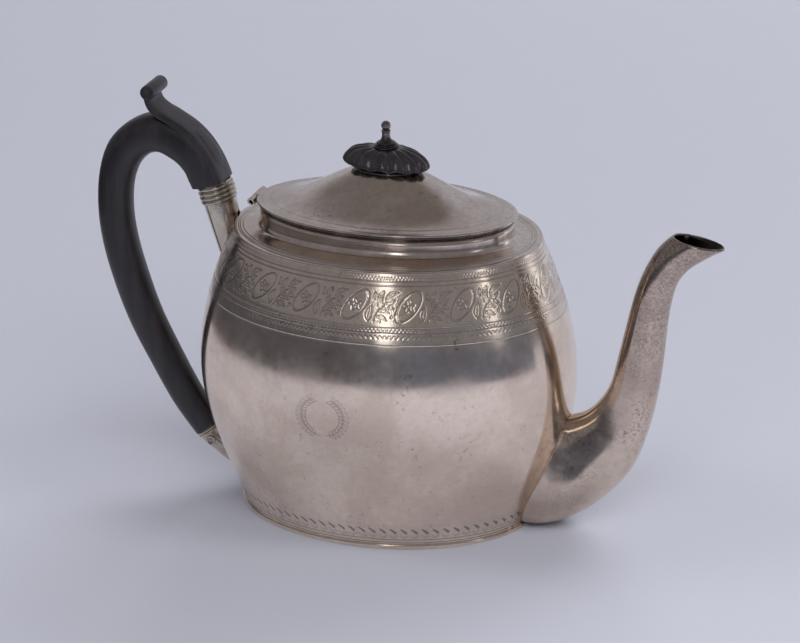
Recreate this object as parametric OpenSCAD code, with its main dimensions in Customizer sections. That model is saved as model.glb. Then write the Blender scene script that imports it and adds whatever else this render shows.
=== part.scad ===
// Oval silver teapot: raised body, hinged domed lid, swan-neck spout and a carved wooden handle.
// Millimetres. The origin is the centre of the foot on the table; +X points to the spout, +Z up.

/* [Body] */
// Half length of the body where it leaves the foot rim
body_foot_r = 62.9; // [60:0.1:64]
// Half length of the body at its top edge
body_top_r = 65; // [64:0.1:67]
// Height of the body's top edge
body_top_z = 121.8; // [118:0.1:126]
// Width of the body as a share of its length
body_oval = 0.76; // [0.72:0.01:0.8]
// Thickness of the raised silver
wall = 1; // [0.8:0.1:1.2]

/* [Foot] */
// Height of the foot rim
foot_h = 3.2; // [2.6:0.1:4]
// Half length of the foot rim at its widest
foot_r = 63.5; // [63:0.1:65]

/* [Neck] */
// Half length of the neck under the lid
neck_r = 54; // [53:0.1:54.4]
// Height of the top of the neck
neck_top_z = 130.9; // [129.5:0.1:131.2]
// Width of the neck and lid as a share of their length
lid_oval = 0.63; // [0.6:0.01:0.66]

/* [Lid] */
// Half length of the lid's edge
lid_r = 55; // [54.8:0.1:55]
// Height of the lid's underside
lid_z = 132; // [131.95:0.05:132.2]
// Half length of the flat seat for the finial
seat_r = 14; // [12:0.5:16]
// Height of the top of the lid's dome
dome_z = 148.6; // [146:0.1:151]

/* [Finial] */
// Half length of the fluted wooden button
button_r = 18.5; // [16:0.5:20]
// Width of the button as a share of its length
button_oval = 0.56; // [0.5:0.02:0.66]
// Number of lobes round the button
button_lobes = 14; // [10:2:18]

/* [Strainer] */
// Radius of a strainer hole
strainer_hole_r = 1.3; // [1:0.1:1.6]
// Distance between strainer holes
strainer_pitch = 5.4; // [4.5:0.1:6]

/* [Hinge] */
// Radius of the hinge barrel
barrel_r = 1.5; // [1.4:0.05:1.5]
// Radius of the hinge pin
hinge_pin_r = 0.7; // [0.6:0.05:0.8]
// Half length of the hinge barrel
barrel_half = 8; // [7:0.5:9]

/* [Hidden] */

slip = 0.05;          // running clearance, and the gap where a piece is scribed to the body
big = 400;            // side of a cutting block

silver = "silver";
tarnished = "darkgray";
ebony = "#1c1a1d";

foot_bore_r = 60.2;   // inside of the foot rim, where the base plate sits
base_h = 1.2;         // thickness of the flat base

// Body profile: a cubic curve from the foot rim to the top edge, half lengths against heights.
body_curve = [[body_foot_r, foot_h], [73.6, 33.6], [94.8, 57.2], [body_top_r, body_top_z]];
body_steps = 18;
// Lid profile: an ogee from the edge up to the finial's seat.
lid_edge_h = 0.9;
lid_curve = [[lid_r, lid_z + lid_edge_h], [36, 134.6], [27, 143.5], [seat_r, dome_z]];
lid_steps = 14;
lid_thick = 0.9;
bezel_r = 51.6;
bezel_z = 127.6;
lid_flat_r = 49.5;

// Shoulder: a cove that runs nearly flat from inside the reeded wire, then turns up to the neck.
shoulder_r = 63.4;
shoulder_z = 122.6;
shoulder_square = 6.5;
shoulder_steps = 12;
shoulder_sides = 72;

hinge_x = -56.6;
hinge_z = 131.3;
knuckle_half = 2.5;
knuckle_gap = 0.2;

finial_base_z = 149.6;
button_rim_z = 151.4;
button_top_z = 158.4;
collar_r = 5.2;
collar_top_z = 159.8;
cap_top_z = 162.6;
stem_r = 1.65;
ball_r = 2;
ball_z = 167.4;
bolt_r = 1.5;
bolt_end_z = 143.8;
nut_top_z = 147;
nut_h = 2.2;
nut_r = 3.4;
washer_r = 4.5;
dome_under_z = dome_z - lid_thick;

// Handle: centre x, centre z, direction in degrees, half depth, half width, squareness.
handle_stations = [
    [-80.9, 24.2, 126, 6.3, 6.2, 2.1], [-90.3, 38, 122, 6.9, 6.6, 2.2],
    [-99.6, 55, 118, 7.1, 6.8, 2.2], [-108, 72, 114, 7.4, 6.9, 2.2],
    [-114.1, 89, 107, 7.6, 7, 2.2], [-118.4, 105.3, 99, 7.6, 7, 2.2],
    [-120, 119.5, 90, 7.5, 7, 2.2], [-119, 133.5, 77, 7.6, 7, 2.2],
    [-114.9, 144.9, 58, 8, 7.2, 2.3], [-107.3, 152.4, 36, 8.1, 7.4, 2.5],
    [-98.3, 155, 5, 8.4, 7.5, 2.8], [-87.6, 151.2, -28, 8.5, 7.5, 3],
    [-81.2, 144.9, -50, 8.1, 7.5, 3.2], [-78.3, 138.5, -68, 7.8, 7.4, 3.2],
    [-76.9, 134.9, -74.5, 7.6, 7.3, 3.2]];
handle_sides = 20;
handle_sub = 2;
// Thumb piece: the side outline of the leaf that curls up from the handle into a roll.
leaf_half = 7.6;
leaf_top = [[-84, 159.4], [-88, 161.6], [-92, 163.8], [-96, 165.8], [-99.2, 168], [-100.4, 171]];
leaf_under = [[-103.7, 174], [-103.8, 170.5], [-102.8, 167.2], [-101, 164.3], [-98.5, 161.8],
    [-95, 158.5], [-86, 154]];
roll_x = -101.2;
roll_z = 174;
roll_r = 3.1;
roll_half = 8.3;

// Sockets: where the wood ends, and the direction from there to the body.
upper_end = [-75.3, 135.34];
upper_dir = -74.5;
upper_tube_r = 7;
upper_tube_h = 8;
upper_foot_r = 6.1;
upper_h = 36;
upper_bore_r = 5.4;
upper_tenon_h = 13;
upper_pin_at = 9.4;
lower_end = [-80.9, 24.2];
lower_dir = -54;
lower_bore_r = 3.6;
lower_tenon_h = 7;
lower_pin_at = 5;
pin_r = 1;
lower_pin_half = 5.6;
// Lower socket: as the handle's stations, from the wood's end down to a point on the body.
lower_stations = [
    [-80.9, 24.2, -54, 5.5, 5.5, 2], [-77.8, 20.3, -54, 5.3, 5.5, 2], [-74.3, 17.5, -50, 4.7, 5.3, 2],
    [-70.7, 13.9, -45, 4.1, 4.7, 2], [-67.5, 11.1, -43, 3.3, 3.9, 2], [-65.2, 8.6, -41, 2.2, 2.9, 2],
    [-63.5, 6.9, -40, 0.9, 1.6, 2]];
rosette_r = 2.1;

// Spout: as the handle's stations, from inside the body to past the mouth, outer surface.
spout_stations = [
    [56, 25.3, 3, 24.3, 16.4, 3.4], [69, 25.5, 5, 24.1, 16.4, 3.2], [80, 27.6, 12, 20.9, 16, 2.8],
    [87.4, 32.3, 26, 18.4, 14.6, 2.4], [95.6, 40.2, 43, 15.3, 12.8, 2.15],
    [101.5, 50.6, 59, 12.2, 11, 2.05], [105.9, 62.5, 70, 10.2, 9.8, 2],
    [108.9, 78.4, 78, 9.3, 8.8, 2], [111.8, 97, 78, 8.1, 7.7, 2], [114, 107.3, 72, 7.6, 7.2, 2],
    [117.2, 116.3, 60, 7.3, 6.8, 2], [122.6, 124.2, 46, 7.6, 6.5, 2],
    [131.5, 131, 29, 7.6, 6.3, 2], [140.9, 136.3, 26, 7.3, 6.2, 2]];
spout_sides = 28;
spout_sub = 2;
spout_wall = 1;
mouth_x = 126;
mouth_z = 131.9;
mouth_tilt = 11.5;
spout_floor_z = 1;

// ---- Functions ----

// Point on a cubic curve with control points c, at share t.
function bezier(c, t) = pow(1 - t, 3) * c[0] + 3 * t * pow(1 - t, 2) * c[1]
    + 3 * t * t * (1 - t) * c[2] + pow(t, 3) * c[3];

// The body's outline from foot to top edge, moved outwards by off.
function body_outline(off) = [for (i = [0:body_steps]) bezier(body_curve, i / body_steps) + [off, 0]];

// The lid's outline from edge to seat, moved up by off.
function lid_outline(off) = [for (i = [0:lid_steps]) bezier(lid_curve, i / lid_steps) + [0, off]];

function reversed(list) = [for (i = [len(list) - 1:-1:0]) list[i]];

// Smooth interpolation between b and c, with their neighbours a and d.
function blend(a, b, c, d, t) = 0.5 * (2 * b + (c - a) * t + (2 * a - 5 * b + 4 * c - d) * t * t
    + (3 * b - a - 3 * c + d) * t * t * t);

// Station rows with sub - 1 smooth rows added between each two.
function refined(s, sub) = [for (i = [0:len(s) - 2], j = [0:sub - 1])
    blend(s[max(i - 1, 0)], s[i], s[i + 1], s[min(i + 2, len(s) - 1)], j / sub), s[len(s) - 1]];

// Cosine or sine value v, bent towards a square by n.
function squared(v, n) = sign(v) * pow(abs(v), 2 / n);

// Ring of points round one station, its half sizes less by inset.
function ring(s, sides, inset) = [for (i = [0:sides - 1])
    let (a = 360 * (i + 0.5) / sides, u = (s[3] - inset) * squared(cos(a), s[5]),
        v = (s[4] - inset) * squared(sin(a), s[5]))
    [s[0] - sin(s[2]) * u, v, s[1] + cos(s[2]) * u]];

// Point on the shoulder's surface at angle a and share t of the way to the neck, sunk by depth.
function shoulder_point(a, t, depth) =
    let (u = squared(sin(90 * t), shoulder_square), w = squared(cos(90 * t), shoulder_square),
        inward = depth * u,
        edge = shoulder_r - slip,
        rx = edge + (neck_r - edge) * u - inward,
        ry = edge * body_oval + (neck_r * lid_oval - edge * body_oval) * u - inward)
    [rx * cos(a), ry * sin(a),
        shoulder_z + (neck_top_z - shoulder_z) * (1 - w) - depth * w];

// Point on the button's fluted top at angle a and share t from centre to rim.
function button_point(a, t) =
    let (r = button_r * (0.24 + 0.76 * t) * (1 - 0.05 * t * pow(abs(sin(a * button_lobes / 2)), 3)),
        drop = (button_top_z - button_rim_z) * (1 - sqrt(1 - 0.97 * pow(t, 2.6))) / 0.827)
    [r * cos(a), r * button_oval * sin(a), button_top_z - drop];

// ---- Shared shapes ----

// Solid swept through rows of stations.
module sweep(stations, sides, inset = 0) {
    rings = [for (s = stations) ring(s, sides, inset)];
    skin(rings, sides);
}

// Closed solid through rings of equal length.
module skin(rings, sides) {
    last = len(rings) - 1;
    points = [for (r = rings) each r];
    walls = [for (k = [0:last - 1], i = [0:sides - 1]) let (j = (i + 1) % sides)
        each [[k * sides + i, k * sides + j, (k + 1) * sides + j],
            [k * sides + i, (k + 1) * sides + j, (k + 1) * sides + i]]];
    start = [for (i = [sides - 1:-1:0]) i];
    end = [for (i = [0:sides - 1]) last * sides + i];
    polyhedron(points, concat(walls, [start], [end]), convexity = 10);
}

// Ring turned from an outline and squeezed to an oval.
module oval_turned(oval, outline) {
    scale([1, oval, 1]) rotate_extrude($fn = 96) polygon(outline);
}

// Everything inside the body's outer surface, with the foot rim, slightly enlarged.
module body_envelope() {
    oval_turned(body_oval, concat([[0, -1], [foot_r + slip, -1], [foot_r + slip, foot_h]],
        body_outline(slip), [[body_top_r + 0.45, body_top_z], [body_top_r + 0.45, shoulder_z + slip],
        [0, shoulder_z + slip]]));
}

// Places its children on a socket's axis, with z measured from the wood's end towards the body.
module on_socket(end, direction) {
    translate([end[0], 0, end[1]]) rotate([0, 90 - direction, 0]) children();
}

// Round pin or bore across the object, centred on the middle plane.
module cross_pin(x, z, r, half) {
    translate([x, half, z]) rotate([90, 0, 0]) cylinder(r = r, h = 2 * half, $fn = 32);
}

// Pin position on a socket's axis, at a distance from the wood's end.
function along(end, direction, distance) = end + distance * [cos(direction), sin(direction)];

upper_pin_xz = along(upper_end, upper_dir, upper_pin_at);
lower_pin_xz = along(lower_end, lower_dir, lower_pin_at);

// ---- Body ----

module foot_rim() {
    color(silver) oval_turned(body_oval, [[foot_bore_r, 0], [foot_r - 0.5, 0], [foot_r, 0.6],
        [foot_r, 1.7], [foot_r - 0.5, 2.2], [body_foot_r, 2.4], [body_foot_r, foot_h],
        [foot_bore_r, foot_h]]);
}

module base_plate() {
    color(tarnished) linear_extrude(base_h) polygon([for (i = [0:95])
        (foot_bore_r - slip) * [cos(i * 3.75), body_oval * sin(i * 3.75)]]);
}

module body_shell() {
    color(silver) difference() {
        oval_turned(body_oval, concat(body_outline(0), reversed(body_outline(-wall))));
        for (row = [-2:2], col = [-1:1])
            translate([60, (col + (abs(row) % 2) / 2 - 0.25) * strainer_pitch,
                27 + row * strainer_pitch * 0.87])
                rotate([0, 90, 0]) cylinder(r = strainer_hole_r, h = 30, $fn = 24);
    }
}

// Two reeds on the body's top edge.
module shoulder_wire() {
    color(silver) oval_turned(body_oval, [[shoulder_r, body_top_z], [body_top_r + 0.1, body_top_z],
        [body_top_r + 0.4, body_top_z + 0.2], [body_top_r, body_top_z + 0.4],
        [body_top_r + 0.1, body_top_z + 0.6], [body_top_r - 0.3, shoulder_z],
        [shoulder_r, shoulder_z]]);
}

module shoulder() {
    steps = shoulder_steps;
    sides = shoulder_sides;
    outer = [for (k = [0:steps]) [for (i = [0:sides - 1])
        shoulder_point(360 * i / sides, k / steps, 0)]];
    inner = [for (k = [steps:-1:0]) [for (i = [0:sides - 1])
        shoulder_point(360 * i / sides, k / steps, wall)]];
    color(silver) closed_band(concat(outer, inner), sides);
}

// Ring-shaped solid through rings that end where they began.
module closed_band(rings, sides) {
    count = len(rings);
    faces = [for (k = [0:count - 1], i = [0:sides - 1])
        let (j = (i + 1) % sides, n = (k + 1) % count)
        each [[k * sides + j, k * sides + i, n * sides + i], [k * sides + j, n * sides + i, n * sides + j]]];
    polyhedron([for (r = rings) each r], [for (f = faces) reversed(f)], convexity = 10);
}

module rim_wire() {
    color(silver) oval_turned(lid_oval, [[neck_r - wall, neck_top_z], [neck_r + 0.5, neck_top_z],
        [neck_r + 0.8, neck_top_z + 0.35], [neck_r + 0.6, neck_top_z + 0.8],
        [neck_r - wall, neck_top_z + 0.9]]);
}

// ---- Hinge ----

module barrel(from_y, to_y) {
    translate([hinge_x, to_y, hinge_z]) rotate([90, 0, 0])
        cylinder(r = barrel_r, h = to_y - from_y, $fn = 32);
}

module hinge_body_knuckles() {
    inner_y = knuckle_half + knuckle_gap;
    color(silver) difference() {
        for (side = [0, 1]) mirror([0, side, 0]) {
            barrel(inner_y, barrel_half);
            translate([hinge_x, inner_y, hinge_z - barrel_r])
                cube([5, barrel_half - inner_y, barrel_r]);
        }
        translate([0, 0, hinge_z - 5]) scale([1, lid_oval, 1])
            cylinder(r = neck_r + 0.8 + slip, h = 10, $fn = 96);
        cross_pin(hinge_x, hinge_z, hinge_pin_r + 0.02, barrel_half + 1);
    }
}

module hinge_pin() {
    color(tarnished) cross_pin(hinge_x, hinge_z, hinge_pin_r, barrel_half);
}

module hinge_lid_knuckle() {
    color(silver) difference() {
        union() {
            barrel(-knuckle_half, knuckle_half);
            translate([hinge_x, -knuckle_half, hinge_z + barrel_r - 0.1])
                cube([6, 2 * knuckle_half, 0.8]);
            translate([hinge_x, -knuckle_half, hinge_z])
                cube([1.2, 2 * knuckle_half, barrel_r + 0.6]);
        }
        lid_envelope();
        cross_pin(hinge_x, hinge_z, hinge_pin_r + slip, barrel_half);
    }
}

// ---- Lid ----

// Everything under the lid's outer surface, slightly enlarged.
module lid_envelope() {
    oval_turned(lid_oval, concat([[0, lid_z - 1], [lid_r + slip, lid_z - 1]],
        [for (p = lid_outline(slip)) p + [slip, 0]], [[0, dome_z + slip]]));
}

module lid() {
    under = [for (p = reversed(lid_outline(-lid_thick))) if (p[0] < lid_flat_r) p];
    color(silver) difference() {
        oval_turned(lid_oval, concat([[lid_r, lid_z]], lid_outline(0), [[0, dome_z], [0, dome_under_z]],
            under, [[lid_flat_r, lid_z]]));
        translate([0, 0, dome_under_z - 2]) cylinder(r = bolt_r + slip, h = 6, $fn = 32);
    }
}

module lid_bezel() {
    color(tarnished) oval_turned(lid_oval, [[bezel_r - wall, bezel_z], [bezel_r, bezel_z],
        [bezel_r, lid_z], [bezel_r - wall, lid_z]]);
}

// ---- Finial ----

module bolt_hole() {
    translate([0, 0, bolt_end_z]) cylinder(r = bolt_r + slip, h = 20, $fn = 32);
}

module finial_seat() {
    color(silver) difference() {
        oval_turned(lid_oval, [[0, dome_z], [12.6, dome_z], [13, dome_z + 0.5],
            [12.6, finial_base_z], [0, finial_base_z]]);
        bolt_hole();
    }
}

module finial_button() {
    sides = button_lobes * 6;
    steps = 6;
    top = [for (k = [0:steps]) [for (i = [0:sides - 1]) button_point(360 * i / sides, k / steps)]];
    lip = [for (i = [0:sides - 1]) button_point(360 * i / sides, 1) - [0, 0, 0.9]];
    under = [for (p = lip) [p[0] * 0.66, p[1] * 0.66, finial_base_z]];
    color(ebony) difference() {
        skin(reversed(concat(top, [lip, under])), sides);
        bolt_hole();
    }
}

// Turned silver collar on top of the button.
module finial_collar() {
    color(tarnished) rotate_extrude($fn = 48) polygon([[bolt_r + slip, button_top_z],
        [collar_r - 0.6, button_top_z], [collar_r, button_top_z + 0.6],
        [collar_r - 0.9, collar_top_z], [bolt_r + slip, collar_top_z]]);
}

// Bell-shaped cap that the stem rises from.
module finial_cap() {
    color(tarnished) rotate_extrude($fn = 48) polygon([[bolt_r + slip, collar_top_z],
        [3.6, collar_top_z], [4, collar_top_z + 0.5], [3.4, collar_top_z + 1],
        [2.4, collar_top_z + 1.7], [stem_r + 0.1, cap_top_z], [bolt_r + slip, cap_top_z]]);
}

module finial_bolt() {
    waist = stem_r - 0.1;
    color(tarnished) union() {
        translate([0, 0, bolt_end_z]) cylinder(r = bolt_r, h = cap_top_z - bolt_end_z, $fn = 32);
        rotate_extrude($fn = 48) polygon([[0, cap_top_z], [stem_r, cap_top_z], [waist, cap_top_z + 2],
            [waist, ball_z - 2.2], [stem_r + 0.3, ball_z - 1.9], [waist, ball_z - 1.4], [0, ball_z - 1.4]]);
        translate([0, 0, ball_z]) sphere(r = ball_r, $fn = 32);
    }
}

module finial_washer() {
    color(silver) difference() {
        translate([0, 0, nut_top_z]) cylinder(r = washer_r, h = dome_under_z - nut_top_z, $fn = 48);
        bolt_hole();
    }
}

module finial_nut() {
    color("goldenrod") difference() {
        translate([0, 0, nut_top_z - nut_h]) cylinder(r = nut_r, h = nut_h, $fn = 6);
        bolt_hole();
    }
}

// ---- Handle and its sockets ----

module tenon(end, direction, r, h) {
    on_socket(end, direction) translate([0, 0, -1]) cylinder(r = r - slip, h = h + 1, $fn = 32);
}

module handle() {
    color(ebony) difference() {
        union() {
            sweep(refined(handle_stations, handle_sub), handle_sides);
            translate([0, leaf_half, 0]) rotate([90, 0, 0])
                linear_extrude(2 * leaf_half) polygon(concat(leaf_top, leaf_under));
            cross_pin(roll_x, roll_z, roll_r, roll_half);
            tenon(upper_end, upper_dir, upper_bore_r, upper_tenon_h);
            tenon(lower_end, lower_dir, lower_bore_r, lower_tenon_h);
        }
        cross_pin(upper_pin_xz[0], upper_pin_xz[1], pin_r + slip, 20);
        cross_pin(lower_pin_xz[0], lower_pin_xz[1], pin_r + slip, 20);
    }
}

module upper_socket() {
    taper_h = upper_h - upper_tube_h;
    color(silver) difference() {
        on_socket(upper_end, upper_dir) difference() {
            rotate_extrude($fn = 48) polygon([[upper_bore_r, 0], [upper_tube_r, 0],
                [upper_tube_r, upper_tube_h], [upper_foot_r, upper_h],
                [upper_foot_r - wall, upper_h], [upper_bore_r, upper_tenon_h + 0.5]]);
        }
        body_envelope();
        cross_pin(upper_pin_xz[0], upper_pin_xz[1], pin_r + slip, 20);
    }
}

// Four reeds round the top of the upper socket.
module upper_socket_collar() {
    inner = upper_tube_r + slip;
    reeds = [for (i = [0:3]) each [[inner + 0.3, 0.2 + i * 2], [inner + 0.9, 0.8 + i * 2],
        [inner + 0.9, 1.4 + i * 2], [inner + 0.3, 2 + i * 2]]];
    color(silver) on_socket(upper_end, upper_dir)
        rotate_extrude($fn = 48) polygon(concat([[inner, 0.2]], reeds, [[inner, 8]]));
}

module upper_pin() {
    color(silver) cross_pin(upper_pin_xz[0], upper_pin_xz[1], pin_r, upper_tube_r - slip);
}

module lower_socket() {
    color(silver) difference() {
        sweep(refined(lower_stations, 2), 24);
        body_envelope();
        on_socket(lower_end, lower_dir) translate([0, 0, -1])
            cylinder(r = lower_bore_r, h = lower_tenon_h + 1.2, $fn = 32);
        cross_pin(lower_pin_xz[0], lower_pin_xz[1], pin_r + slip, 20);
    }
}

// Two reeds where the wood enters the lower socket.
module lower_socket_collar() {
    color(silver) on_socket(lower_end, lower_dir) rotate_extrude($fn = 48) polygon([[5.55, 0.2],
        [5.8, 0.2], [6.2, 0.6], [6.2, 1], [5.8, 1.3], [6.1, 1.6], [6.1, 2], [5.8, 2.4], [5.55, 2.4]]);
}

module lower_pin() {
    color(silver) cross_pin(lower_pin_xz[0], lower_pin_xz[1], pin_r, lower_pin_half);
}

// Ringed rivet heads on both ends of the lower pin.
module lower_rosettes() {
    color(silver) for (side = [0, 1]) mirror([0, side, 0])
        translate([lower_pin_xz[0], lower_pin_half, lower_pin_xz[1]]) rotate([-90, 0, 0])
            rotate_extrude($fn = 48) polygon([[0, 0], [rosette_r, 0], [rosette_r, 0.5],
                [rosette_r - 0.3, 0.8], [rosette_r - 0.7, 0.7], [1.2, 0.25], [0.9, 0.3],
                [0.6, 0.75], [0, 0.9]]);
}

// ---- Spout ----

// Block above the spout's oblique mouth.
module above_mouth() {
    translate([mouth_x, 0, mouth_z]) rotate([0, mouth_tilt, 0])
        translate([-big / 2, -big / 2, 0]) cube(big);
}

module spout() {
    rows = refined(spout_stations, spout_sub);
    color(silver) difference() {
        sweep(rows, spout_sides);
        sweep(concat([rows[0] - [1, 0, 0, 0, 0, 0]], rows, [rows[len(rows) - 1] + [1, 0, 0, 0, 0, 0]]),
            spout_sides, spout_wall);
        body_envelope();
        above_mouth();
        translate([0, -big / 2, spout_floor_z - big]) cube(big);
    }
}

// Small raised stop at the back of the mouth.
module spout_tab() {
    color(tarnished) translate([mouth_x + 0.4, 0, mouth_z]) rotate([0, mouth_tilt, 0])
        translate([-0.6, -2, slip]) cube([1.4, 4, 1.3]);
}

// ---- Output ----

foot_rim();
base_plate();
body_shell();
shoulder_wire();
shoulder();
rim_wire();
hinge_body_knuckles();
hinge_pin();
hinge_lid_knuckle();
lid();
lid_bezel();
finial_seat();
finial_button();
finial_collar();
finial_cap();
finial_bolt();
finial_washer();
finial_nut();
handle();
upper_socket();
upper_socket_collar();
upper_pin();
lower_socket();
lower_socket_collar();
lower_pin();
lower_rosettes();
spout();
spout_tab();
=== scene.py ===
"""Visual model of the oval silver teapot: engraved body, fluted finial, swan-neck spout, wooden handle.

All shapes are worked out in millimetres and turned into metres when a mesh is made."""

import math

import bpy
import numpy as np
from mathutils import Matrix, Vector


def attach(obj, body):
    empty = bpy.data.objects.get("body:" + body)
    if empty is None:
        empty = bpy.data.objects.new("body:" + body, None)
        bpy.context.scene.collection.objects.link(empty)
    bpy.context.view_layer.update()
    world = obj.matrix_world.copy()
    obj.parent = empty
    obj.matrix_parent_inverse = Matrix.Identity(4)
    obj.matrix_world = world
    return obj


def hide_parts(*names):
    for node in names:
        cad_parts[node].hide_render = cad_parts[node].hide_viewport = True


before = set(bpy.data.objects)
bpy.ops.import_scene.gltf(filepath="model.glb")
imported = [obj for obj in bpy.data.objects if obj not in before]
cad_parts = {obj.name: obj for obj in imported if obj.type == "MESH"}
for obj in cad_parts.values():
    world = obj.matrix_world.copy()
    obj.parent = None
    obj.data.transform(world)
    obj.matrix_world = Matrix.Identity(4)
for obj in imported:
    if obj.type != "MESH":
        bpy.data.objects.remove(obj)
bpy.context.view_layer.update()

MM = 0.001
TAU = 2 * math.pi

# ---------------------------------------------------------------- sizes, as in the CAD

BODY_OVAL = 0.76
LID_OVAL = 0.63
WALL = 1.0
BODY_CURVE = np.array([(62.9, 3.2), (73.6, 33.6), (94.8, 57.2), (65.0, 121.8)])
LID_CURVE = np.array([(54.9, 132.9), (36.0, 134.6), (27.0, 143.5), (14.0, 148.6)])
SHOULDER_R, SHOULDER_Z, SHOULDER_SQUARE = 63.4, 122.6, 6.5
NECK_R, NECK_TOP_Z = 54.0, 130.9
LID_Z = 132.0
DOME_Z = 148.6
BUTTON_R, BUTTON_OVAL, BUTTON_LOBES = 18.5, 0.56, 14
BUTTON_BASE_Z, BUTTON_RIM_Z, BUTTON_TOP_Z, BUTTON_LEAN = 149.6, 151.6, 158.4, 0.04


# ---------------------------------------------------------------- numbers

def bezier(curve, t):
    t = np.asarray(t, float)[..., None]
    return ((1 - t) ** 3 * curve[0] + 3 * t * (1 - t) ** 2 * curve[1]
            + 3 * t * t * (1 - t) * curve[2] + t ** 3 * curve[3])


def by_length(points):
    """Running length along a line of points."""
    step = np.linalg.norm(np.diff(points, axis=0), axis=1)
    return np.concatenate([[0], np.cumsum(step)])


BODY_DENSE = bezier(BODY_CURVE, np.linspace(0, 1, 2001))
BODY_LENGTH = by_length(BODY_DENSE)
BODY_ARC = BODY_LENGTH[-1]


def body_profile(down):
    """Half length and height of the body wall at distances down its surface from the top edge."""
    at = BODY_ARC - np.asarray(down, float)
    return np.interp(at, BODY_LENGTH, BODY_DENSE[:, 0]), np.interp(at, BODY_LENGTH, BODY_DENSE[:, 1])


def body_radius(z):
    return np.interp(z, BODY_DENSE[:, 1], BODY_DENSE[:, 0])


OVAL_ANGLES = np.linspace(-math.pi, math.pi, 14401)


def oval_angles(oval, count, phase=0.0):
    """Angles that divide an oval into equal lengths, starting a phase (in lengths) after the handle side."""
    points = np.stack([np.cos(OVAL_ANGLES), oval * np.sin(OVAL_ANGLES)], 1)
    length = by_length(points)
    want = ((np.arange(count) + phase) / count) % 1.0 * length[-1]
    return np.interp(want, length, OVAL_ANGLES)


def smooth(x):
    x = np.clip(x, 0, 1)
    return x * x * (3 - 2 * x)


def catmull(rows, t):
    """Smooth curve through rows, at parameters t counted in rows."""
    rows = np.asarray(rows, float)
    t = np.clip(np.asarray(t, float), 0, len(rows) - 1 - 1e-9)
    i = np.floor(t).astype(int)
    f = (t - i)[..., None]
    a, b, c, d = (rows[np.clip(i + k, 0, len(rows) - 1)] for k in (-1, 0, 1, 2))
    return 0.5 * (2 * b + (c - a) * f + (2 * a - 5 * b + 4 * c - d) * f ** 2
                  + (3 * b - a - 3 * c + d) * f ** 3)


# ---------------------------------------------------------------- meshes

def make_mesh(name, points, faces, cut=None, sharp=None):
    """Mesh object from points in millimetres, smooth shaded, with an optional engraving attribute."""
    mesh = bpy.data.meshes.new(name)
    mesh.from_pydata((np.asarray(points, float).reshape(-1, 3) * MM).tolist(), [], faces)
    mesh.update()
    mesh.polygons.foreach_set("use_smooth", np.ones(len(mesh.polygons), bool))
    if cut is not None:
        attribute = mesh.color_attributes.new("cut", "FLOAT_COLOR", "POINT")
        value = np.asarray(cut, float).reshape(-1)
        rgba = np.stack([value, value, value, np.ones_like(value)], 1)
        attribute.data.foreach_set("color", rgba.ravel())
    if sharp is not None:
        mesh.set_sharp_from_angle(angle=math.radians(sharp))
    obj = bpy.data.objects.new(name, mesh)
    bpy.context.scene.collection.objects.link(obj)
    return obj


def grid_faces(rows, columns, loop=False):
    """Faces of a grid whose columns wrap round and, with loop, whose last row joins its first."""
    faces = []
    for r in range(rows if loop else rows - 1):
        here, above = r * columns, (r + 1) % rows * columns
        for c in range(columns):
            d = (c + 1) % columns
            faces.append((here + c, here + d, above + d, above + c))
    return faces


def grid(name, points, cut=None, loop=False, flip=False, cap_start=False, cap_end=False, sharp=None):
    """Grid mesh from an array of rows x columns x 3, columns wrapping round."""
    points = np.asarray(points, float)
    rows, columns = points.shape[:2]
    faces = grid_faces(rows, columns, loop=loop)
    flat = points.reshape(-1, 3)
    if cap_start:
        flat = np.vstack([flat, points[0].mean(0)])
        faces += [(c, (len(flat) - 1), (c + 1) % columns) for c in range(columns)]
    if cap_end:
        flat = np.vstack([flat, points[-1].mean(0)])
        base = (rows - 1) * columns
        faces += [(base + c, base + (c + 1) % columns, len(flat) - 1) for c in range(columns)]
    if cut is not None:
        cut = np.concatenate([np.asarray(cut, float).ravel(), np.zeros(len(flat) - rows * columns)])
    if flip:
        faces = [f[::-1] for f in faces]
    return make_mesh(name, flat, faces, cut, sharp)


def turned(name, outline, oval=1.0, columns=256, loop=True, sharp=35):
    """Ring turned from a closed outline of (half length, height), squeezed to an oval."""
    outline = np.asarray(outline, float)
    a = np.linspace(0, TAU, columns, endpoint=False)
    points = np.stack([outline[:, :1] * np.cos(a), oval * outline[:, :1] * np.sin(a),
                       np.repeat(outline[:, 1:2], columns, 1)], -1)
    return grid(name, points, loop=loop, sharp=sharp)


# ---------------------------------------------------------------- materials

def node_material(name):
    material = bpy.data.materials.new(name)
    material.use_nodes = True
    tree = material.node_tree
    shader = tree.nodes["Principled BSDF"]
    return material, tree, shader


def add(tree, kind, **values):
    node = tree.nodes.new(kind)
    for key, value in values.items():
        setattr(node, key, value)
    return node


def noise(tree, scale, detail=3.0, rough=0.55, stretch=None, distort=0.0):
    """Noise in object space; scale is in features per metre."""
    coords = add(tree, "ShaderNodeTexCoord")
    texture = add(tree, "ShaderNodeTexNoise")
    texture.inputs["Scale"].default_value = scale
    texture.inputs["Detail"].default_value = detail
    texture.inputs["Roughness"].default_value = rough
    texture.inputs["Distortion"].default_value = distort
    source = coords.outputs["Object"]
    if stretch is not None:
        mapping = add(tree, "ShaderNodeMapping")
        mapping.inputs["Scale"].default_value = stretch[:3]
        if len(stretch) > 3:
            mapping.inputs["Rotation"].default_value = stretch[3:]
        tree.links.new(source, mapping.inputs["Vector"])
        source = mapping.outputs["Vector"]
    tree.links.new(source, texture.inputs["Vector"])
    return texture.outputs["Fac"]


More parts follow.
